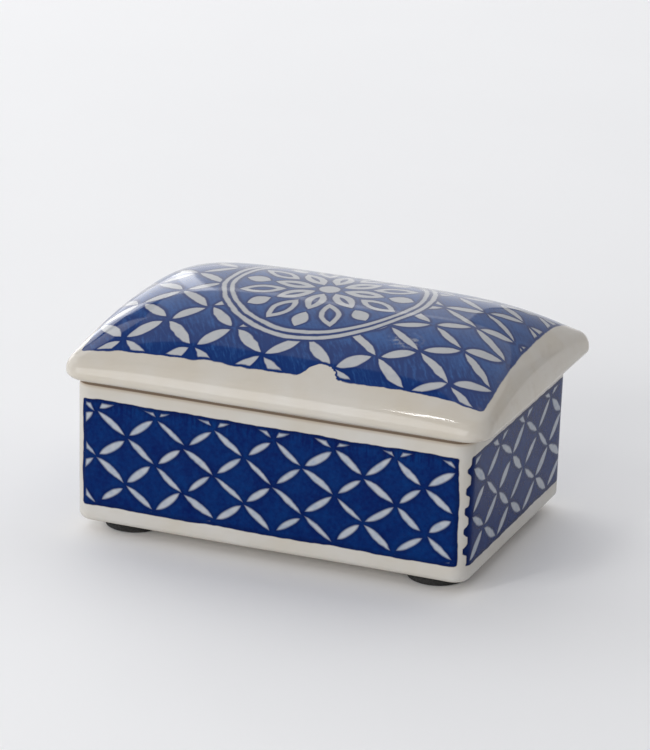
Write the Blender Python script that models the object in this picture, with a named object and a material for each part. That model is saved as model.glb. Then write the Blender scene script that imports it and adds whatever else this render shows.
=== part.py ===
"""Porcelain trinket box: an oblong glazed box, a domed lift-off lid and four stick-on foot pads.

World frame in metres: the origin is under the lid's middle on the surface that the box stands on,
+X runs along the long side, -Y is the front and +Z is up.
"""

from math import cos, pi, radians, sin

import bmesh
import bpy

MM = 0.001

# Clearance kept between pieces that touch each other.
GAP = 0.3 * MM

# The box itself, measured over its glaze just under the lid. The lid rests on it a little off the
# middle, within the play of its flange, and the origin is under the lid.
BOX_X = -2.4 * MM
BOX_Y = 0.5 * MM
BODY_LENGTH = 127.0 * MM
BODY_DEPTH = 86.5 * MM
BODY_HEIGHT = 46.0 * MM
BODY_CORNER = 5.6 * MM
DRAFT = 0.4 * MM
WALL = 4.6 * MM
FLOOR = 5.0 * MM
FOOT_ROUND = 2.0 * MM
SHOULDER_IN = 1.6 * MM
SHOULDER_DOWN = 4.3 * MM
RIM_ROUND = 0.6 * MM
INSIDE_ROUND = 4.0 * MM

# The round foot pads, in from the box's lower edges.
PAD_RADIUS = 9.0 * MM
PAD_THICK = 3.5 * MM
PAD_EDGE = 0.3 * MM
PAD_INSET_X = 5.2 * MM
PAD_INSET_Y = 5.5 * MM
PAD_STEPS = 40

# The lid: a bullnosed rim that overhangs the box, under a cushion-shaped dome.
LID_OVERHANG_X = 4.4 * MM
LID_OVERHANG_Y = 5.5 * MM
LID_CORNER = 7.5 * MM
NOSE_IN = 2.7 * MM
NOSE_LOW = 2.1 * MM
NOSE_ROUND = 3.0 * MM
DOME_RISE = 18.2 * MM
DOME_POWER_X = 5.2
DOME_SOFT_X = 0.62
DOME_POWER_Y = 2.45
DOME_SOFT_Y = 0.92
LID_WALL = 4.2 * MM

# The flange under the lid that drops into the box and keeps the lid in place.
FLANGE_CLEARANCE = 2.5 * MM
FLANGE_THICK = 3.0 * MM
FLANGE_DROP = 4.5 * MM
FLANGE_ROUND = 1.0 * MM

CORNER_STEPS = 6
SIDE_STEPS_X = 8
SIDE_STEPS_Y = 6
ARC_STEPS = 4
DOME_RINGS = 12
HOLLOW_RINGS = 8

BASE_BOTTOM = PAD_THICK + GAP
RIM_TOP = BASE_BOTTOM + BODY_HEIGHT
LID_SEAT = RIM_TOP + GAP
LID_HALF_X = BODY_LENGTH / 2 + LID_OVERHANG_X
LID_HALF_Y = BODY_DEPTH / 2 + LID_OVERHANG_Y
NOSE_MIDDLE = LID_SEAT + NOSE_LOW
NOSE_TOP = NOSE_MIDDLE + NOSE_ROUND


def clear_scene():
    for old in list(bpy.data.objects):
        bpy.data.objects.remove(old, do_unlink=True)


def ceramic(name, colour, roughness):
    material = bpy.data.materials.new(name)
    material.use_nodes = True
    shader = material.node_tree.nodes["Principled BSDF"]
    shader.inputs["Base Color"].default_value = (*colour, 1.0)
    shader.inputs["Roughness"].default_value = roughness
    shader.inputs["Metallic"].default_value = 0.0
    material.diffuse_color = (*colour, 1.0)
    return material


def outline(half_x, half_y, radius):
    """A rounded oblong's points, anticlockwise, with extra points along its straight sides."""
    points = []
    corners = ((1, -1, -90), (1, 1, 0), (-1, 1, 90), (-1, -1, 180))
    for index, (side_x, side_y, start) in enumerate(corners):
        centre_x = side_x * (half_x - radius)
        centre_y = side_y * (half_y - radius)
        for step in range(CORNER_STEPS + 1):
            angle = radians(start + 90 * step / CORNER_STEPS)
            points.append((centre_x + radius * cos(angle), centre_y + radius * sin(angle)))
        next_x, next_y, next_start = corners[(index + 1) % 4]
        end_x = next_x * (half_x - radius) + radius * cos(radians(next_start))
        end_y = next_y * (half_y - radius) + radius * sin(radians(next_start))
        from_x, from_y = points[-1]
        steps = SIDE_STEPS_Y if side_x == next_x else SIDE_STEPS_X
        for step in range(1, steps):
            share = step / steps
            points.append((from_x + (end_x - from_x) * share, from_y + (end_y - from_y) * share))
    return points


def ring(half_x, half_y, radius, height):
    return [(x, y, height) for x, y in outline(half_x, half_y, radius)]


def arc(count, start, end):
    """Sines and cosines at even steps from one angle to another, both ends included."""
    angles = [radians(start + (end - start) * step / count) for step in range(count + 1)]
    return [(sin(angle), cos(angle)) for angle in angles]


def loft(name, rings, material):
    """One closed solid through a row of rings, with a flat face over the first and the last."""
    mesh = bpy.data.meshes.new(name)
    shape = bmesh.new()
    loops = [[shape.verts.new(point) for point in points] for points in rings]
    count = len(loops[0])
    for lower, upper in zip(loops, loops[1:]):
        for index in range(count):
            after = (index + 1) % count
            shape.faces.new((lower[index], lower[after], upper[after], upper[index]))
    shape.faces.new(list(reversed(loops[0])))
    shape.faces.new(loops[-1])
    bmesh.ops.recalc_face_normals(shape, faces=shape.faces)
    shape.to_mesh(mesh)
    shape.free()
    piece = bpy.data.objects.new(name, mesh)
    piece.data.materials.append(material)
    bpy.context.collection.objects.link(piece)
    mesh.shade_smooth()
    mesh.set_sharp_from_angle(angle=radians(40))
    return piece


def base_rings():
    """The box from its foot up the outside, over the rim and down to the inside floor."""
    half_x = BODY_LENGTH / 2
    half_y = BODY_DEPTH / 2
    rings = []
    for rise, reach in arc(ARC_STEPS, 0, 90):
        inset = DRAFT + FOOT_ROUND * (1 - rise)
        height = BASE_BOTTOM + FOOT_ROUND * (1 - reach)
        rings.append(ring(half_x - inset, half_y - inset, BODY_CORNER - inset, height))
    for rise, reach in arc(ARC_STEPS, 0, 90):
        inset = SHOULDER_IN * (1 - reach)
        height = RIM_TOP - SHOULDER_DOWN * (1 - rise)
        rings.append(ring(half_x - inset, half_y - inset, BODY_CORNER - inset, height))
    for rise, reach in arc(ARC_STEPS // 2, 90, 0):
        inset = WALL - RIM_ROUND * rise
        height = RIM_TOP - RIM_ROUND * (1 - rise)
        rings.append(ring(half_x - inset, half_y - inset, BODY_CORNER - SHOULDER_IN, height))
    inside_floor = BASE_BOTTOM + FLOOR
    for rise, reach in arc(ARC_STEPS, 0, 90):
        inset = WALL + DRAFT + INSIDE_ROUND * (1 - reach)
        height = inside_floor + INSIDE_ROUND * (1 - rise)
        corner = BODY_CORNER - SHOULDER_IN + INSIDE_ROUND * (1 - reach) / 2
        rings.append(ring(half_x - inset, half_y - inset, corner, height))
    return [[(BOX_X + x, BOX_Y + y, height) for x, y, height in points] for points in rings]


def dome_height(x, y, half_x, half_y, rise):
    """A cushion: level over the middle and falling away to nothing at all four sides."""
    along = (1 - min(abs(x) / half_x, 1) ** DOME_POWER_X) ** DOME_SOFT_X
    across = (1 - min(abs(y) / half_y, 1) ** DOME_POWER_Y) ** DOME_SOFT_Y
    return rise * along * across


def dome_rings(half_x, half_y, corner, spread, edge_height, rise, count):
    """Rings that shrink from an outline towards the crown of a dome as wide as spread."""
    rings = []
    for step in range(1, count + 1):
        share = cos(pi / 2 * step / (count + 0.6))
        points = [(x * share, y * share) for x, y in outline(half_x, half_y, corner)]
        rings.append([(x, y, edge_height + dome_height(x, y, *spread, rise)) for x, y in points])
    return rings


def rim_rings():
    """The lid's bullnosed rim from its seat up to where it runs into the dome."""
    rings = []
    for rise, reach in arc(ARC_STEPS, 0, 90):
        inset = NOSE_IN * (1 - rise)
        height = LID_SEAT + NOSE_LOW * (1 - reach)
        rings.append(ring(LID_HALF_X - inset, LID_HALF_Y - inset, LID_CORNER - inset / 2, height))
    for rise, reach in arc(ARC_STEPS, 0, 90)[1:]:
        inset = NOSE_ROUND * (1 - reach)
        height = NOSE_MIDDLE + NOSE_ROUND * rise
        points = outline(LID_HALF_X - inset, LID_HALF_Y - inset, LID_CORNER - inset)
        rings.append(
            [(x, y, height + dome_height(x, y, LID_HALF_X, LID_HALF_Y, DOME_RISE)) for x, y in points]
        )
    return rings


def lid_rings():
    """The lid from the hollow's crown down and round the flange, then round the rim to the top."""
    flange_x = BODY_LENGTH / 2 - WALL - FLANGE_CLEARANCE
    flange_y = BODY_DEPTH / 2 - WALL - FLANGE_CLEARANCE
    flange_corner = BODY_CORNER - SHOULDER_IN
    hollow_x = flange_x - FLANGE_THICK
    hollow_y = flange_y - FLANGE_THICK
    hollow_edge = LID_SEAT + GAP
    hollow_rise = NOSE_TOP + DOME_RISE - LID_WALL - hollow_edge
    hollow = (hollow_x, hollow_y)
    ceiling = dome_rings(*hollow, flange_corner, hollow, hollow_edge, hollow_rise, HOLLOW_RINGS)
    rings = list(reversed(ceiling))
    rings.append(ring(hollow_x, hollow_y, flange_corner, hollow_edge))
    flange_bottom = LID_SEAT - FLANGE_DROP
    rings.append(ring(hollow_x, hollow_y, flange_corner, flange_bottom + FLANGE_ROUND))
    rings.append(ring(hollow_x + FLANGE_ROUND, hollow_y + FLANGE_ROUND, flange_corner, flange_bottom))
    rings.append(ring(flange_x - FLANGE_ROUND, flange_y - FLANGE_ROUND, flange_corner, flange_bottom))
    rings.append(ring(flange_x, flange_y, flange_corner, flange_bottom + FLANGE_ROUND))
    rings.append(ring(flange_x, flange_y, flange_corner, LID_SEAT))
    rings.extend(rim_rings())
    top_x = LID_HALF_X - NOSE_ROUND
    top_y = LID_HALF_Y - NOSE_ROUND
    spread = (LID_HALF_X, LID_HALF_Y)
    corner = LID_CORNER - NOSE_ROUND
    rings.extend(dome_rings(top_x, top_y, corner, spread, NOSE_TOP, DOME_RISE, DOME_RINGS))
    return rings


def foot_pad(name, side_x, side_y, material):
    """A disc of foam rubber under one corner, with its edges just broken."""
    centre_x = BOX_X + side_x * (BODY_LENGTH / 2 - PAD_INSET_X - PAD_RADIUS)
    centre_y = BOX_Y + side_y * (BODY_DEPTH / 2 - PAD_INSET_Y - PAD_RADIUS)
    layers = (
        (PAD_RADIUS - PAD_EDGE, 0.0),
        (PAD_RADIUS, PAD_EDGE),
        (PAD_RADIUS, PAD_THICK - PAD_EDGE),
        (PAD_RADIUS - PAD_EDGE, PAD_THICK),
    )
    turn = [2 * pi * step / PAD_STEPS for step in range(PAD_STEPS)]
    rings = [
        [(centre_x + reach * cos(angle), centre_y + reach * sin(angle), height) for angle in turn]
        for reach, height in layers
    ]
    return loft(name, rings, material)


def build():
    clear_scene()
    painted_glaze = ceramic("painted_glaze", (0.20, 0.24, 0.38), 0.12)
    foam_rubber = ceramic("foam_rubber", (0.015, 0.015, 0.015), 0.85)
    loft("box_base", base_rings(), painted_glaze)
    loft("lid", lid_rings(), painted_glaze)
    for row, side_y in (("front", -1), ("back", 1)):
        for column, side_x in (("left", -1), ("right", 1)):
            foot_pad(f"foot_pad_{row}_{column}", side_x, side_y, foam_rubber)


build()
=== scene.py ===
"""Porcelain trinket box: hand-painted blue and white glaze over smooth versions of the CAD solids.

Everything is in metres in the CAD frame: +X along the box, -Y towards its front, +Z up. Sizes in
the painting are in millimetres, measured over the surface that they are painted on.
"""

from math import cos, hypot, pi, radians, sin

import bmesh
import bpy
from mathutils import Matrix, Vector, noise


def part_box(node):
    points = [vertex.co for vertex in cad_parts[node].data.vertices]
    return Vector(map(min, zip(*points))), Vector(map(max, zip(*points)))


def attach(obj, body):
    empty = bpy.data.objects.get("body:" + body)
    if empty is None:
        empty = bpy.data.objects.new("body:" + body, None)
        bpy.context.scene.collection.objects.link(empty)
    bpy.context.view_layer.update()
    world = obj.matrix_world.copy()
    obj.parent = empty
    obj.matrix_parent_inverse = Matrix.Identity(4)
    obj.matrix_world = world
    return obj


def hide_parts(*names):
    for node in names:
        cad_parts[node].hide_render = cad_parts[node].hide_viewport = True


MM = 0.001
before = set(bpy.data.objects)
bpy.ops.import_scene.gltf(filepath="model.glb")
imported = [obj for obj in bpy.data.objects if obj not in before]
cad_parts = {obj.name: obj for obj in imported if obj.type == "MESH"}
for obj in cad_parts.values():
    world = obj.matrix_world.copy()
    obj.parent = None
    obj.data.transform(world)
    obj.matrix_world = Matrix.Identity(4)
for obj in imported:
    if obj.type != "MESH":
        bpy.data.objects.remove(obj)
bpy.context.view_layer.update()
BASE_LOW, BASE_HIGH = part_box("box_base")
LID_LOW, LID_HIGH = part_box("lid")

# The porcelain's shape, as the CAD has it.
GAP = 0.3 * MM
BODY_CORNER = 5.6 * MM
DRAFT = 0.4 * MM
WALL = 4.6 * MM
FLOOR = 5.0 * MM
FOOT_ROUND = 2.0 * MM
SHOULDER_IN = 1.6 * MM
SHOULDER_DOWN = 4.3 * MM
RIM_ROUND = 0.6 * MM
INSIDE_ROUND = 4.0 * MM
LID_CORNER = 7.5 * MM
NOSE_IN = 2.7 * MM
NOSE_LOW = 2.1 * MM
NOSE_ROUND = 3.0 * MM
DOME_POWER_X = 5.2
DOME_SOFT_X = 0.62
DOME_POWER_Y = 2.45
DOME_SOFT_Y = 0.92
LID_WALL = 4.2 * MM
FLANGE_CLEARANCE = 2.5 * MM
FLANGE_THICK = 3.0 * MM
FLANGE_DROP = 4.5 * MM
FLANGE_ROUND = 1.0 * MM
PAD_EDGE = 0.5 * MM

BODY_X = (BASE_HIGH[0] + BASE_LOW[0]) / 2
BODY_Y = (BASE_HIGH[1] + BASE_LOW[1]) / 2
HALF_X = (BASE_HIGH[0] - BASE_LOW[0]) / 2
HALF_Y = (BASE_HIGH[1] - BASE_LOW[1]) / 2
RIM_TOP = BASE_HIGH[2]
LID_SEAT = RIM_TOP + GAP
LID_HALF_X = (LID_HIGH[0] - LID_LOW[0]) / 2
LID_HALF_Y = (LID_HIGH[1] - LID_LOW[1]) / 2
NOSE_MIDDLE = LID_SEAT + NOSE_LOW
NOSE_TOP = NOSE_MIDDLE + NOSE_ROUND
DOME_RISE = LID_HIGH[2] - NOSE_TOP

# The stage's floor is a hair below the pads, whose soft unevenness reaches just past their box.
FLOOR_DROP = -0.1 * MM

# The camera, as the photograph was taken.
CAMERA_AZIMUTH = 21.9
CAMERA_ELEVATION = 19.7
CAMERA_ROLL = 1.4
CAMERA_DISTANCE = 1.25
CAMERA_LENS = 197.3
AIM_HEIGHT = 35.8 * MM
AIM_RIGHT = 0.4 * MM
AIM_UP = 9.8 * MM


# ---------------------------------------------------------------- shapes


def outline(half_x, half_y, radius, corner_steps=12, steps_x=40, steps_y=28):
    """A rounded oblong's points, anticlockwise, with extra points along its straight sides."""
    points = []
    corners = ((1, -1, -90), (1, 1, 0), (-1, 1, 90), (-1, -1, 180))
    for index, (side_x, side_y, start) in enumerate(corners):
        centre_x = side_x * (half_x - radius)
        centre_y = side_y * (half_y - radius)
        for step in range(corner_steps + 1):
            angle = radians(start + 90 * step / corner_steps)
            points.append((centre_x + radius * cos(angle), centre_y + radius * sin(angle)))
        next_x, next_y, next_start = corners[(index + 1) % 4]
        end_x = next_x * (half_x - radius) + radius * cos(radians(next_start))
        end_y = next_y * (half_y - radius) + radius * sin(radians(next_start))
        from_x, from_y = points[-1]
        steps = steps_y if side_x == next_x else steps_x
        for step in range(1, steps):
            share = step / steps
            points.append((from_x + (end_x - from_x) * share, from_y + (end_y - from_y) * share))
    return points


def ring(half_x, half_y, radius, height):
    return [(x, y, height) for x, y in outline(half_x, half_y, radius)]


def arc(count, start, end):
    angles = [radians(start + (end - start) * step / count) for step in range(count + 1)]
    return [(sin(angle), cos(angle)) for angle in angles]


def handmade(point, depth, seed):
    """Moves a point by a soft unevenness, as in a cast and sponged clay body."""
    place = Vector(point) * 28 + Vector((seed, seed * 2.3, seed * 0.7))
    shift = [noise.noise(place + Vector((0.0, 0.0, 31.7 * axis))) for axis in range(3)]
    return Vector(point) + Vector(shift) * depth


# How uneven the surfaces are.
CAST_UNEVEN = 0.25 * MM
FOAM_UNEVEN = 0.1 * MM


def loft(name, rings, centre, depth, seed):
    """One closed solid through a row of rings, with a flat face over the first and the last."""
    mesh = bpy.data.meshes.new(name)
    shape = bmesh.new()
    loops = []
    for points in rings:
        moved = [handmade((x + centre[0], y + centre[1], z), depth, seed) for x, y, z in points]
        loops.append([shape.verts.new(point) for point in moved])
    count = len(loops[0])
    for lower, upper in zip(loops, loops[1:]):
        for index in range(count):
            after = (index + 1) % count
            shape.faces.new((lower[index], lower[after], upper[after], upper[index]))
    shape.faces.new(list(reversed(loops[0])))
    shape.faces.new(loops[-1])
    bmesh.ops.recalc_face_normals(shape, faces=shape.faces)
    shape.to_mesh(mesh)
    shape.free()
    mesh.shade_smooth()
    piece = bpy.data.objects.new(name, mesh)
    bpy.context.collection.objects.link(piece)
    return piece


def between(count, start, end):
    """Evenly spaced numbers strictly between two ends."""
    return [start + (end - start) * step / (count + 1) for step in range(1, count + 1)]


def base_rings():
    rings = []
    bottom = BASE_LOW[2]
    foot_x = HALF_X - DRAFT - FOOT_ROUND
    foot_y = HALF_Y - DRAFT - FOOT_ROUND
    for share in (0.1, 0.3, 0.5, 0.7, 0.85, 0.95, 0.99):
        corner = (BODY_CORNER - DRAFT - FOOT_ROUND) * share
        rings.append(ring(foot_x * share, foot_y * share, corner, bottom))
    for rise, reach in arc(8, 0, 90):
        inset = DRAFT + FOOT_ROUND * (1 - rise)
        height = bottom + FOOT_ROUND * (1 - reach)
        rings.append(ring(HALF_X - inset, HALF_Y - inset, BODY_CORNER - inset, height))
    low = bottom + FOOT_ROUND
    high = RIM_TOP - SHOULDER_DOWN
    for height in between(18, low, high):
        inset = DRAFT * (high - height) / (high - low)
        rings.append(ring(HALF_X - inset, HALF_Y - inset, BODY_CORNER - inset, height))
    for rise, reach in arc(10, 0, 90):
        inset = SHOULDER_IN * (1 - reach)
        height = RIM_TOP - SHOULDER_DOWN * (1 - rise)
        rings.append(ring(HALF_X - inset, HALF_Y - inset, BODY_CORNER - inset, height))
    inner_corner = BODY_CORNER - SHOULDER_IN
    for rise, reach in arc(4, 90, 0):
        inset = WALL - RIM_ROUND * rise
        height = RIM_TOP - RIM_ROUND * (1 - rise)
        rings.append(ring(HALF_X - inset, HALF_Y - inset, inner_corner, height))
    inside_floor = bottom + FLOOR
    for height in between(8, RIM_TOP - RIM_ROUND, inside_floor + INSIDE_ROUND):
        inset = WALL + DRAFT * (RIM_TOP - height) / (RIM_TOP - inside_floor)
        rings.append(ring(HALF_X - inset, HALF_Y - inset, inner_corner, height))
    for rise, reach in arc(8, 0, 90):
        inset = WALL + DRAFT + INSIDE_ROUND * (1 - reach)
        height = inside_floor + INSIDE_ROUND * (1 - rise)
        corner = inner_corner + INSIDE_ROUND * (1 - reach) / 2
        rings.append(ring(HALF_X - inset, HALF_Y - inset, corner, height))
    floor_x = HALF_X - WALL - DRAFT - INSIDE_ROUND
    floor_y = HALF_Y - WALL - DRAFT - INSIDE_ROUND
    for share in (0.97, 0.9, 0.75, 0.5, 0.25, 0.1):
        corner = (inner_corner + INSIDE_ROUND / 2) * share
        rings.append(ring(floor_x * share, floor_y * share, corner, inside_floor))
    return rings


def dome_height(x, y, half_x, half_y, rise):
    """A cushion: level over the middle and falling away to nothing at all four sides."""
    along = (1 - min(abs(x) / half_x, 1) ** DOME_POWER_X) ** DOME_SOFT_X
    across = (1 - min(abs(y) / half_y, 1) ** DOME_POWER_Y) ** DOME_SOFT_Y
    return rise * along * across


def dome_rings(half_x, half_y, corner, spread, edge_height, rise, count):
    """Rings that shrink from an outline towards the crown of a dome as wide as spread."""
    rings = []
    for step in range(1, count + 1):
        share = cos(pi / 2 * step / (count + 0.6))
        points = [(x * share, y * share) for x, y in outline(half_x, half_y, corner)]
        rings.append([(x, y, edge_height + dome_height(x, y, *spread, rise)) for x, y in points])
    return rings


def rim_rings():
    """The lid's bullnosed rim from its seat up to where it runs into the dome."""
    rings = []
    for rise, reach in arc(12, 0, 90):
        inset = NOSE_IN * (1 - rise)
        height = LID_SEAT + NOSE_LOW * (1 - reach)
        rings.append(ring(LID_HALF_X - inset, LID_HALF_Y - inset, LID_CORNER - inset / 2, height))
    for rise, reach in arc(16, 0, 90)[1:]:
        inset = NOSE_ROUND * (1 - reach)
        height = NOSE_MIDDLE + NOSE_ROUND * rise
        points = outline(LID_HALF_X - inset, LID_HALF_Y - inset, LID_CORNER - inset)
        rings.append(
            [(x, y, height + dome_height(x, y, LID_HALF_X, LID_HALF_Y, DOME_RISE)) for x, y in points]
        )
    return rings


def lid_rings():
    flange_x = HALF_X - WALL - FLANGE_CLEARANCE
    flange_y = HALF_Y - WALL - FLANGE_CLEARANCE
    corner = BODY_CORNER - SHOULDER_IN
    hollow_x = flange_x - FLANGE_THICK
    hollow_y = flange_y - FLANGE_THICK
    hollow_edge = LID_SEAT + GAP
    hollow_rise = NOSE_TOP + DOME_RISE - LID_WALL - hollow_edge
    hollow = (hollow_x, hollow_y)
    rings = list(reversed(dome_rings(*hollow, corner, hollow, hollow_edge, hollow_rise, 24)))
    rings.append(ring(hollow_x, hollow_y, corner, hollow_edge))
    flange_bottom = LID_SEAT - FLANGE_DROP
    middle = flange_bottom + FLANGE_ROUND
    for rise, reach in arc(6, 90, 0):
        inset = FLANGE_ROUND * (1 - rise)
        height = middle - FLANGE_ROUND * reach
        rings.append(ring(hollow_x + inset, hollow_y + inset, corner, height))
    for rise, reach in arc(6, 0, 90):
        inset = FLANGE_ROUND * (1 - rise)
        height = middle - FLANGE_ROUND * reach
        rings.append(ring(flange_x - inset, flange_y - inset, corner, height))
    for height in (LID_SEAT - 0.6 * MM, LID_SEAT - 0.1 * MM, LID_SEAT):
        rings.append(ring(flange_x, flange_y, corner, height))
    seat_x = LID_HALF_X - NOSE_IN
    for reach in between(4, flange_x, seat_x):
        share = (reach - flange_x) / (seat_x - flange_x)
        half_y = flange_y + (LID_HALF_Y - NOSE_IN - flange_y) * share
        radius = corner + (LID_CORNER - NOSE_IN / 2 - corner) * share
        rings.append(ring(reach, half_y, radius, LID_SEAT))
    rings.extend(rim_rings())
    top_x = LID_HALF_X - NOSE_ROUND
    top_y = LID_HALF_Y - NOSE_ROUND
    spread = (LID_HALF_X, LID_HALF_Y)
    rings.extend(dome_rings(top_x, top_y, LID_CORNER - NOSE_ROUND, spread, NOSE_TOP, DOME_RISE, 60))
    return rings


def pad_rings(low, high):
    """A foam disc with softly rounded edges."""
    radius = (high[0] - low[0]) / 2
    count = 96
    turn = [2 * pi * step / count for step in range(count)]
    layers = [(radius * share, low[2]) for share in (0.15, 0.5, 0.8)]
    for rise, reach in arc(5, 0, 90):
        layers.append((radius - PAD_EDGE * (1 - rise), low[2] + PAD_EDGE * (1 - reach)))
    for rise, reach in arc(5, 90, 0):
        layers.append((radius - PAD_EDGE * (1 - rise), high[2] - PAD_EDGE * (1 - reach)))
    layers += [(radius * share, high[2]) for share in (0.8, 0.5, 0.15)]
    return [[(r * cos(a), r * sin(a), height) for a in turn] for r, height in layers]


# ---------------------------------------------------------------- painting with nodes


class Field:
    """A number that varies over a surface: one socket in a node tree, with arithmetic."""

    def __init__(self, tree, socket):
        self.tree = tree
        self.socket = socket

    def math(self, operation, *others):
        node = self.tree.nodes.new("ShaderNodeMath")
        node.operation = operation
        self.tree.links.new(self.socket, node.inputs[0])
        for slot, other in enumerate(others, 1):
            if isinstance(other, Field):
                self.tree.links.new(other.socket, node.inputs[slot])
            else:
                node.inputs[slot].default_value = other
        return Field(self.tree, node.outputs[0])

    def __add__(self, other):
        return self.math("ADD", other)

    def __sub__(self, other):
        return self.math("SUBTRACT", other)

    def __rsub__(self, other):
        return (self - other) * -1.0

    def __mul__(self, other):
        return self.math("MULTIPLY", other)

    def __truediv__(self, other):
        return self.math("DIVIDE", other)

    def __neg__(self):
        return self.math("MULTIPLY", -1.0)

    def __abs__(self):
        return self.math("ABSOLUTE")

    def floor(self):
        return self.math("FLOOR")

    def least(self, other):
        return self.math("MINIMUM", other)

    def most(self, other):
        return self.math("MAXIMUM", other)

    def above(self, limit):
        return self.math("GREATER_THAN", limit)

    def square(self):
        return self.math("MULTIPLY", self)

    def ramp(self, start, end, low=0.0, high=1.0):
        """Smoothly from low at start to high at end, and level beyond them."""
        node = self.tree.nodes.new("ShaderNodeMapRange")
        node.interpolation_type = "SMOOTHSTEP"
        self.tree.links.new(self.socket, node.inputs["Value"])
        for label, value in (("From Min", start), ("From Max", end), ("To Min", low), ("To Max", high)):
            if isinstance(value, Field):
                self.tree.links.new(value.socket, node.inputs[label])
            else:
                node.inputs[label].default_value = value
        return Field(self.tree, node.outputs["Result"])

    def swap(self, other, share):
        """This field where share is 0 and the other where it is 1."""
        return self + (other - self) * share


class Paint:
    """A new material's node tree, with its glaze shader and the surface's own coordinates."""

    def __init__(self, name, roughness, gloss=0.5):
        self.material = bpy.data.materials.new(name)
        self.material.use_nodes = True
        self.tree = self.material.node_tree
        self.shader = self.tree.nodes["Principled BSDF"]
        self.shader.inputs["Roughness"].default_value = roughness
        self.shader.inputs["Specular IOR Level"].default_value = gloss
        place = self.tree.nodes.new("ShaderNodeTexCoord")
        split = self.tree.nodes.new("ShaderNodeSeparateXYZ")
        scaled = self.tree.nodes.new("ShaderNodeVectorMath")
        scaled.operation = "SCALE"
        scaled.inputs["Scale"].default_value = 1 / MM
        self.tree.links.new(place.outputs["Object"], scaled.inputs[0])
        self.tree.links.new(scaled.outputs[0], split.inputs[0])
        self.millimetres = scaled.outputs[0]
        self.x, self.y, self.z = (Field(self.tree, output) for output in split.outputs)
        facing = self.tree.nodes.new("ShaderNodeSeparateXYZ")
        self.tree.links.new(place.outputs["Normal"], facing.inputs[0])
        self.upward = Field(self.tree, facing.outputs[2])

    def vector(self, *fields):
        node = self.tree.nodes.new("ShaderNodeCombineXYZ")
        for slot, field in enumerate(fields):
            if isinstance(field, Field):
                self.tree.links.new(field.socket, node.inputs[slot])
            else:
                node.inputs[slot].default_value = field
        return node.outputs[0]

    def noise(self, size, detail=2.0, vector=None, stretch=None):
        """Soft noise from about -1 to 1, with features about size millimetres across."""
        source = vector or self.millimetres
        if stretch:
            scaled = self.tree.nodes.new("ShaderNodeVectorMath")
            scaled.operation = "MULTIPLY"
            scaled.inputs[1].default_value = stretch
            self.tree.links.new(source, scaled.inputs[0])
            source = scaled.outputs[0]
        node = self.tree.nodes.new("ShaderNodeTexNoise")
        node.inputs["Scale"].default_value = 1 / size
        node.inputs["Detail"].default_value = detail
        self.tree.links.new(source, node.inputs["Vector"])
        return (Field(self.tree, node.outputs["Fac"]) - 0.5) * 3.0

    def chance(self, *fields):
        """Three numbers from 0 to 1 that are fixed for each set of whole numbers given."""
        node = self.tree.nodes.new("ShaderNodeTexWhiteNoise")
        node.noise_dimensions = "3D"
        self.tree.links.new(self.vector(*fields), node.inputs["Vector"])
        split = self.tree.nodes.new("ShaderNodeSeparateColor")
        self.tree.links.new(node.outputs["Color"], split.inputs[0])
        return [Field(self.tree, output) for output in split.outputs]

    def blend(self, first, second, share):
        """A colour between two: a socket or an RGB triple each."""
        node = self.tree.nodes.new("ShaderNodeMix")
        node.data_type = "RGBA"
        self.tree.links.new(share.socket, node.inputs[0])
        for slot, value in ((6, first), (7, second)):
            if isinstance(value, tuple):
                node.inputs[slot].default_value = (*value, 1.0)
            else:
                self.tree.links.new(value, node.inputs[slot])
        return node.outputs[2]

    def bump(self, height, distance):
        """Relief on the glaze: height is a field in millimetres, distance scales it."""
        node = self.tree.nodes.new("ShaderNodeBump")
        node.inputs["Strength"].default_value = 1.0
        node.inputs["Distance"].default_value = distance
        self.tree.links.new(height.socket, node.inputs["Height"])
        self.tree.links.new(node.outputs[0], self.shader.inputs["Normal"])

    def finish(self, colour, roughness=None):
        self.tree.links.new(colour, self.shader.inputs["Base Color"])
        if roughness:
            self.tree.links.new(roughness.socket, self.shader.inputs["Roughness"])
        return self.material


BODY_WHITE = (0.555, 0.54, 0.51)
LID_WHITE = (0.56, 0.53, 0.48)
BODY_PETAL = (0.41, 0.43, 0.465)
BODY_PETAL_SHADE = (0.26, 0.32, 0.41)
PETAL_WHITE = (0.43, 0.435, 0.445)
PETAL_SHADE = (0.33, 0.36, 0.40)
DEEP_COBALT = (0.0001, 0.008, 0.080)
WASHED_COBALT = (0.001, 0.032, 0.150)
INK_COBALT = (0.0002, 0.004, 0.042)
LID_DEEP = (0.002, 0.026, 0.135)
LID_WASHED = (0.020, 0.085, 0.265)
LID_INK = (0.001, 0.020, 0.120)
# The dark brown of a painted shadow in the seam under the lid's edge.
PAINTED_SEAM_SHADOW = (0.12, 0.08, 0.05)
BISQUE = (0.60, 0.53, 0.44)
WARM_EDGE = (0.36, 0.27, 0.18)
IRON_SPECK = (0.20, 0.14, 0.09)
FOAM_DARK = (0.010, 0.010, 0.010)
FOAM_LIGHT = (0.045, 0.044, 0.043)
PALE_FLOOR = (0.93, 0.93, 0.93)

GLAZED = 0.07
UNGLAZED = 0.7
BODY_GLOSS = 0.06
LID_GLOSS = 0.3

# The lid's rows bend towards the front beyond this x.
LATTICE_BEND = 16.2

# Each lattice: a crossing's place, half a step along and up, then the petals that rise and those
# that fall (their width, the share of a step that they fill, their bluntness), and a seed.
SIDE_LATTICE = ((17.5, 28.9), (9.6, 7.35), (2.1, 0.76, 0.45), (1.9, 0.84, 0.25), 3.0)
END_LATTICE = ((15.0, 28.4), (11.3, 7.4), (2.7, 0.80, 0.35), (2.5, 0.84, 0.25), 11.0)
LID_LATTICE = ((LATTICE_BEND, 0.0), (11.2, 8.0), (2.9, 0.82, 0.3), (3.0, 0.86, 0.3), 21.0)

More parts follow.
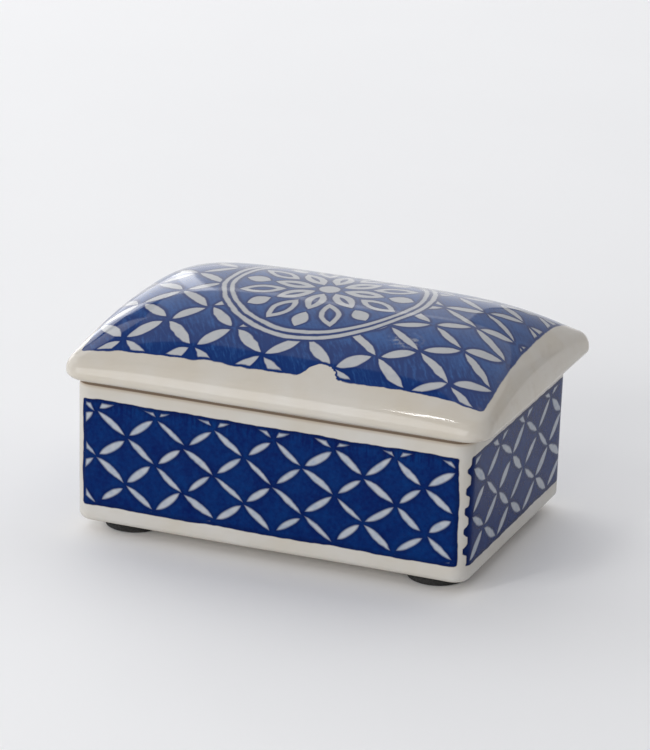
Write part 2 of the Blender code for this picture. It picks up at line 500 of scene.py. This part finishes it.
# The box's painted panels: from their edges to the corners, and their lower and upper edges.
PANEL_SIDE = 3.0
PANEL_LOW = 5.4
PANEL_HIGH = 39.7
PANEL_CORNER = 1.0
PETAL_MARGIN = 1.3
SCALLOP_PITCH = 6.2
SCALLOP_DEPTH = 1.25

# The lid's painted field and its medallion, in millimetres from the lid's middle.
FIELD_HALF_X = 62.6
FIELD_HALF_Y = 42.5
FIELD_CORNER = 2.0
FIELD_MARGIN = 0.8
MEDALLION_X = -1.4
MEDALLION_Y = 1.4
MEDALLION_CLEAR = 33.4
OUTER_RING = 31.8
INNER_RING = 29.3
NOTCH_X = 13.0
NOTCH_DEPTH = 4.2
WORN_X = 33.0
WORN_Y = -24.0


def petal_row(paint, run, side, spacing, skew, cross, width, reach, blunt, seed):
    """How far inside the petals a point is, in millimetres, for the petals that lie along run.

    run and side are lattice coordinates: petals lie where side is whole, one for each step of run.
    spacing is a step's length, and skew and cross turn a step sideways into steps along and
    millimetres across. blunt is 0 for pointed ends and 1 for nearly square ones.
    """
    step = run.floor()
    row = (side + 0.5).floor()
    off = side - row
    fat, long, lean = paint.chance(step, row, seed)
    along = run - step - 0.5 + off * skew + (fat - 0.5) * 0.05
    across = off * cross + (lean - 0.5) * 0.7 + along * (lean - 0.5) * 1.6
    half = (fat * 0.4 + 0.8) * (width / 2)
    share = (along * 2 / ((long - 0.5) * 0.16 + reach)).square()
    bowed = across + along.square() * (long - 0.5) * (spacing * 0.3)
    taper = share * (share * blunt + (1 - blunt)) * -1.0 + 1.0
    return half * taper - abs(bowed)


def lattice(paint, along, up, start, half_steps, rising, falling, seed):
    """White petals that join the lattice's crossings, as a depth inside them in millimetres.

    rising and falling are (width, share of the step that the petal fills, bluntness).
    """
    step_a, step_u = half_steps
    spacing = hypot(step_a, step_u)
    across = (along - start[0]) / (2 * step_a)
    rise = (up - start[1]) / (2 * step_u)
    first = across + rise
    second = across - rise
    skew = (step_a**2 - step_u**2) / spacing**2
    cross = 2 * step_a * step_u / spacing
    up_petals = petal_row(paint, first, second, spacing, skew, cross, *rising, seed)
    down_petals = petal_row(paint, second, first, spacing, skew, cross, *falling, seed + 7.0)
    return up_petals.most(down_petals)


def rounded(first, second, radius):
    """The depth inside two edges that meet in a round corner."""
    near = (radius - first).most(0.0).square()
    far = (radius - second).most(0.0).square()
    beyond = (first.least(second) - radius).most(0.0)
    return radius - (near + far).math("SQRT") + beyond


def cobalt(paint, blues, depth, edge, tone, outlined):
    """The blue wash: uneven in depth, darker round the petals and where its edge pooled."""
    deep, washed, ink = blues
    cloud = paint.noise(9.0, 4.0)
    grain = paint.noise(1.1, 3.0)
    wash = paint.blend(deep, washed, (cloud * 0.26 + grain * 0.16 + tone).ramp(0.0, 1.0))
    pooled = edge.ramp(2.0, 0.1) * 0.6
    return paint.blend(wash, ink, (depth.ramp(-1.5, -0.35) * outlined).most(pooled))


def porcelain(paint, white):
    """White glaze with faint clouds and a few iron specks."""
    cloud = paint.noise(14.0, 3.0).ramp(-1.0, 1.0)
    warmed = tuple(value * share for value, share in zip(white, (0.94, 0.90, 0.83)))
    clouded = paint.blend(white, warmed, cloud)
    speck = paint.noise(0.55, 1.0).ramp(1.12, 1.3) * 0.45
    return paint.blend(clouded, IRON_SPECK, speck)


def orange_peel(paint):
    """The glaze's slight waviness, in millimetres."""
    return paint.noise(9.0, 0.0) * 0.006 + paint.noise(1.6, 1.0) * 0.0004


def body_material():
    """White glaze with a painted panel on each side, and a bare rim and foot."""
    paint = Paint("painted_body_glaze", GLAZED, BODY_GLOSS)
    wobble = paint.noise(13.0, 1.0)
    ragged = paint.noise(2.6, 2.0)
    half_x, half_y = HALF_X / MM, HALF_Y / MM
    x = paint.x - BODY_X / MM
    y = paint.y - BODY_Y / MM
    up = paint.z - BASE_LOW[2] / MM
    depth_x = half_x - abs(x)
    depth_y = half_y - abs(y)
    end = (depth_y - depth_x).above(0.0)
    outside = depth_x.least(depth_y).ramp(2.6, 2.2)

    # The rows wander a little, as a hand does.
    hand = wobble * 0.45 + ragged * 0.16
    lifted = up + wobble * 0.3 + ragged * 0.14
    side_petals = lattice(paint, x + half_x + hand, lifted, *SIDE_LATTICE)
    end_petals = lattice(paint, y + half_y + hand, lifted, *END_LATTICE)
    petals = side_petals.swap(end_petals, end)

    # A row of inky scallops runs down the right end's panel beside the near corner.
    near_corner = x.above(0.0) * (-y).above(0.0)
    phase = up * (2 * pi / SCALLOP_PITCH) - 21.5 + ragged * 0.5
    scallops = phase.math("SINE").ramp(-0.6, 1.0) * near_corner * SCALLOP_DEPTH
    side_edge = depth_x.swap(depth_y + scallops, end) - PANEL_SIDE
    ends_edge = (up - PANEL_LOW).least(PANEL_HIGH - up)
    waves = paint.noise(5.0, 1.0)
    edge = rounded(side_edge, ends_edge, PANEL_CORNER) + wobble * 0.25 + waves * 0.22 + ragged * 0.10
    inset = petals.least(edge - PETAL_MARGIN)
    blues = (DEEP_COBALT, WASHED_COBALT, INK_COBALT)
    brushed = paint.noise(0.9, 2.0, stretch=(1.0, 1.0, 0.15)) * up.ramp(33.0, 38.0) * 0.4
    blue = cobalt(paint, blues, inset, edge, paint.noise(2.2, 2.0) * 0.12 + brushed + 0.40, 0.35)
    petal_white = paint.blend(BODY_PETAL, BODY_PETAL_SHADE, paint.noise(2.0, 2.0).ramp(-0.6, 1.4))
    painted = paint.blend(blue, petal_white, inset.ramp(-0.30, 0.55))
    colour = paint.blend(porcelain(paint, BODY_WHITE), painted, edge.ramp(-0.12, 0.25) * outside)

    # A warm stain and a thin dark painted shadow lie just under the lid's edge, where the seam is in
    # shade. The seat and the foot are unglazed.
    below = -paint.z + RIM_TOP / MM
    seam = outside * below.ramp(1.2, 1.6)
    colour = paint.blend(colour, WARM_EDGE, below.ramp(3.3, 2.2) * seam * 0.55)
    # The darkest part is a painted shadow: the seam's gap in shade.
    colour = paint.blend(colour, PAINTED_SEAM_SHADOW, below.ramp(2.35, 2.05) * seam * 0.9)
    bare = (paint.z - (RIM_TOP / MM - 0.5)).ramp(-0.15, 0.25)
    foot = up.ramp(0.5, 0.2)
    colour = paint.blend(colour, BISQUE, bare.most(foot))
    paint.bump(orange_peel(paint), MM)
    rough = bare.most(foot).ramp(0.0, 1.0, GLAZED, UNGLAZED)
    return paint.finish(colour, rough)


def roundel(x, y):
    """How far inside the medallion's white lines a point is, and how far it is off the middle.

    The medallion is a double ring round an eight-petalled rosette.
    """
    radius = radius_of(x, y)
    outer = band(radius, OUTER_RING, 0.8)
    inner = band(radius, INNER_RING, 0.75)
    angle = y.math("ARCTAN2", x)
    sector = pi / 4

    def petal(turn, near, far, width):
        """How far inside eight petals a point is: they reach from near to far off the middle."""
        folded = (angle + turn + sector * 8.5) / sector
        off = (folded - folded.floor() - 0.5) * sector
        across = radius * off.math("SINE")
        along = (radius * off.math("COSINE") - (near + far) / 2) * 2 / (far - near)
        return (along.square() * -1.0 + 1.0) * (width / 2) - abs(across)

    first = petal(0.0, 4.6, 17.5, 6.2)
    vein = petal(0.0, 8.0, 14.5, 1.5)
    second = petal(sector / 2, 13.0, 27.2, 6.4)
    hollow = petal(sector / 2, 16.0, 24.5, 3.2)
    tips = petal(0.0, 19.2, 27.0, 5.2)
    hub = 3.2 - radius
    flower = first.least(-vein).most(second.least(-hollow)).most(tips).most(hub)
    return outer.most(inner).most(flower), radius


def radius_of(x, y):
    return (x.square() + y.square()).math("SQRT")


def band(radius, middle, half):
    """How far inside a ring of this radius and half width a point is."""
    return half - abs(radius - middle)


def lid_material():
    """The painted top with its lattice and medallion, a white rim and a plain white hollow."""
    paint = Paint("painted_lid_glaze", GLAZED, LID_GLOSS)
    wobble = paint.noise(15.0, 1.0)
    drift = paint.noise(15.0, 1.0, stretch=(1.0, 1.0, 7.0))
    ragged = paint.noise(3.0, 2.0)
    x = paint.x + wobble * 0.4 + ragged * 0.18
    y = paint.y + drift * 0.4 + ragged * 0.18

    # The lattice leans, and its rows draw together to the right.
    leaned = x + (y + 38.0) * 0.12
    beyond = (leaned - LATTICE_BEND).most(0.0)
    row_height = leaned.ramp(8.0, 32.0, 8.2, 7.25)
    risen = (y + beyond * 0.146 + 38.5) / row_height * 8.0
    petals = lattice(paint, leaned - beyond * 0.067, risen, *LID_LATTICE)

    medallion, radius = roundel(x - MEDALLION_X, y - MEDALLION_Y)
    petals = petals.least(radius - MEDALLION_CLEAR).most(medallion)

    # The white rim breaks into the field once along the front.
    notch = abs(x - NOTCH_X + ragged).ramp(7.5, 0.5) * NOTCH_DEPTH * (y * -1.0).above(0.0)
    front_edge = FIELD_HALF_Y - x * 0.0117 - abs(y) - notch
    side_edge = FIELD_HALF_X - y * 0.035 - abs(x - 0.2)
    waves = paint.noise(6.0, 1.0)
    edge = rounded(side_edge, front_edge, FIELD_CORNER) + wobble * 0.25 + waves * 0.15 + ragged * 0.05
    inset = petals.least(edge - FIELD_MARGIN)
    # Slanting brush marks, and a deeper blue along the front. One patch is rubbed white.
    turned = paint.vector(x * 0.8 + y * 0.6, y * 0.8 - x * 0.6, 0.0)
    strokes = paint.noise(0.8, 2.0, vector=turned, stretch=(1.0, 0.16, 1.0))
    front = y.ramp(-25.0, -33.0)
    tone = strokes * (front * 0.40 + 0.26) + front * -0.36 + 0.56
    blue = cobalt(paint, (LID_DEEP, LID_WASHED, LID_INK), inset, edge, tone, 1.0)
    petal_white = paint.blend(PETAL_WHITE, PETAL_SHADE, paint.noise(2.4, 2.0).ramp(-0.2, 1.6))
    painted = paint.blend(blue, petal_white, inset.ramp(-0.18, 0.30))
    worn = radius_of(x - WORN_X, (y - WORN_Y) * 1.3).ramp(6.5, 1.5)
    worn = worn * paint.noise(1.4, 3.0).ramp(-0.2, 0.8)
    painted = paint.blend(painted, petal_white, worn * 0.75)
    top = paint.upward.ramp(0.05, 0.15)
    colour = paint.blend(porcelain(paint, LID_WHITE), painted, edge.ramp(-0.10, 0.25) * top)

    # Faint stains on the right of the rim, a warm lower edge with a thin painted shadow along it where
    # the lid meets the box, and an unglazed flange and seat.
    stain = paint.noise(5.0, 2.0).ramp(0.1, 1.0) * paint.x.ramp(59.0, 66.0) * 0.22
    colour = paint.blend(colour, WARM_EDGE, stain)
    height = paint.z - LID_SEAT / MM
    colour = paint.blend(colour, WARM_EDGE, height.ramp(0.9, 0.4) * 0.3)
    # A thin painted shadow along the lid's lower edge, where it sits on the box.
    colour = paint.blend(colour, PAINTED_SEAM_SHADOW, height.ramp(0.4, 0.25) * 0.5)
    under = (height - 0.25).ramp(0.15, -0.15)
    beyond_x = abs(paint.x) - (HALF_X - WALL - FLANGE_CLEARANCE - FLANGE_THICK) / MM
    beyond_y = abs(paint.y) - (HALF_Y - WALL - FLANGE_CLEARANCE - FLANGE_THICK) / MM
    bare = under * beyond_x.most(beyond_y).ramp(0.4, 0.7)
    colour = paint.blend(colour, BISQUE, bare)
    paint.bump(orange_peel(paint), MM)
    return paint.finish(colour, bare.ramp(0.0, 1.0, GLAZED, UNGLAZED))


def foam_material():
    paint = Paint("black_foam", 0.9)
    cells = paint.noise(0.45, 3.0)
    colour = paint.blend(FOAM_DARK, FOAM_LIGHT, cells.ramp(-0.6, 1.2))
    paint.bump(cells * 0.15, MM)
    return paint.finish(colour)


# ---------------------------------------------------------------- stage


def plain_material(name, colour, roughness):
    paint = Paint(name, roughness)
    tint = tuple(value * 0.985 for value in colour)
    return paint.finish(paint.blend(colour, tint, paint.noise(120.0, 2.0).ramp(-1.0, 1.0)))


def floor():
    mesh = bpy.data.meshes.new("floor")
    shape = bmesh.new()
    bmesh.ops.create_grid(shape, x_segments=1, y_segments=1, size=6.0)
    shape.to_mesh(mesh)
    shape.free()
    piece = bpy.data.objects.new("floor", mesh)
    piece.location = (0.0, 0.0, FLOOR_DROP)
    bpy.context.collection.objects.link(piece)
    mesh.materials.append(plain_material("pale_floor", PALE_FLOOR, 0.7))


# The studio's even light.
SKY_COLOUR = (0.93, 0.94, 1.0, 1.0)
SKY_STRENGTH = 0.32


def softbox(name, place, size, power, target=(0.0, 0.0, 0.04)):
    light = bpy.data.lights.new(name, "AREA")
    light.shape = "RECTANGLE"
    light.size, light.size_y = size
    light.energy = power
    lamp = bpy.data.objects.new(name, light)
    lamp.location = place
    facing = Vector(target) - Vector(place)
    lamp.rotation_euler = facing.to_track_quat("-Z", "Y").to_euler()
    bpy.context.collection.objects.link(lamp)


def surroundings():
    world = bpy.data.worlds.new("studio")
    world.use_nodes = True
    background = world.node_tree.nodes["Background"]
    background.inputs["Color"].default_value = SKY_COLOUR
    background.inputs["Strength"].default_value = SKY_STRENGTH
    bpy.context.scene.world = world
    bpy.context.scene.view_settings.view_transform = "Standard"


def camera():
    a, e, roll = (radians(v) for v in (CAMERA_AZIMUTH, CAMERA_ELEVATION, CAMERA_ROLL))
    right = Vector((cos(a), sin(a), 0.0))
    back = Vector((sin(a) * cos(e), -cos(a) * cos(e), sin(e)))
    up = back.cross(right)
    aim = Vector((BODY_X, BODY_Y, AIM_HEIGHT))
    place = aim + back * CAMERA_DISTANCE
    axis = (place - (aim + up * AIM_UP + right * AIM_RIGHT)).normalized()
    side = up.cross(axis).normalized()
    top = axis.cross(side)
    turned = side * cos(roll) + top * sin(roll)
    upright = top * cos(roll) - side * sin(roll)
    data = bpy.data.cameras.new("camera")
    data.lens = CAMERA_LENS
    data.sensor_width = 36.0
    data.clip_start, data.clip_end = 0.05, 50.0
    view = bpy.data.objects.new("camera", data)
    view.matrix_world = Matrix.Translation(place) @ Matrix((turned, upright, axis)).transposed().to_4x4()
    bpy.context.collection.objects.link(view)
    bpy.context.scene.camera = view


# ---------------------------------------------------------------- putting it together


def put_on(piece, node, body, material):
    piece.data.materials.append(material)
    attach(piece, body)
    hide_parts(node)


def main():
    camera()
    surroundings()
    floor()
    softbox("key", (-0.8, -2.1, 0.75), (2.4, 1.2), 34.0)
    softbox("left", (-1.8, 0.4, 0.9), (1.6, 1.6), 11.0)
    softbox("right", (2.0, 0.7, 0.8), (1.6, 1.6), 5.5)
    softbox("overhead", (0.0, 1.05, 1.6), (2.6, 2.0), 11.5)
    softbox("backdrop_far_left", (-2.35, 1.9, 0.6), (1.1, 1.6), 11.5)
    softbox("backdrop_left", (-1.45, 1.9, 0.55), (0.7, 1.4), 5.0)
    softbox("backdrop_middle", (-0.75, 1.9, 0.5), (0.7, 1.2), 2.2)
    softbox("backdrop_right", (0.25, 1.9, 0.45), (1.3, 1.1), 1.2)
    softbox("spark", (-0.27, -0.68, 0.90), (0.018, 0.34), 0.9)
    base = loft("porcelain_box", base_rings(), (BODY_X, BODY_Y), CAST_UNEVEN, 1.7)
    put_on(base, "box_base", "box", body_material())
    lid = loft("porcelain_lid", lid_rings(), (0.0, 0.0), CAST_UNEVEN, 5.1)
    put_on(lid, "lid", "lid", lid_material())
    foam = foam_material()
    for row in ("front", "back"):
        for column in ("left", "right"):
            node = f"foot_pad_{row}_{column}"
            low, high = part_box(node)
            middle = ((low[0] + high[0]) / 2, (low[1] + high[1]) / 2)
            pad = loft(f"foam_{row}_{column}", pad_rings(low, high), middle, FOAM_UNEVEN, len(node))
            put_on(pad, node, "box", foam)


main()
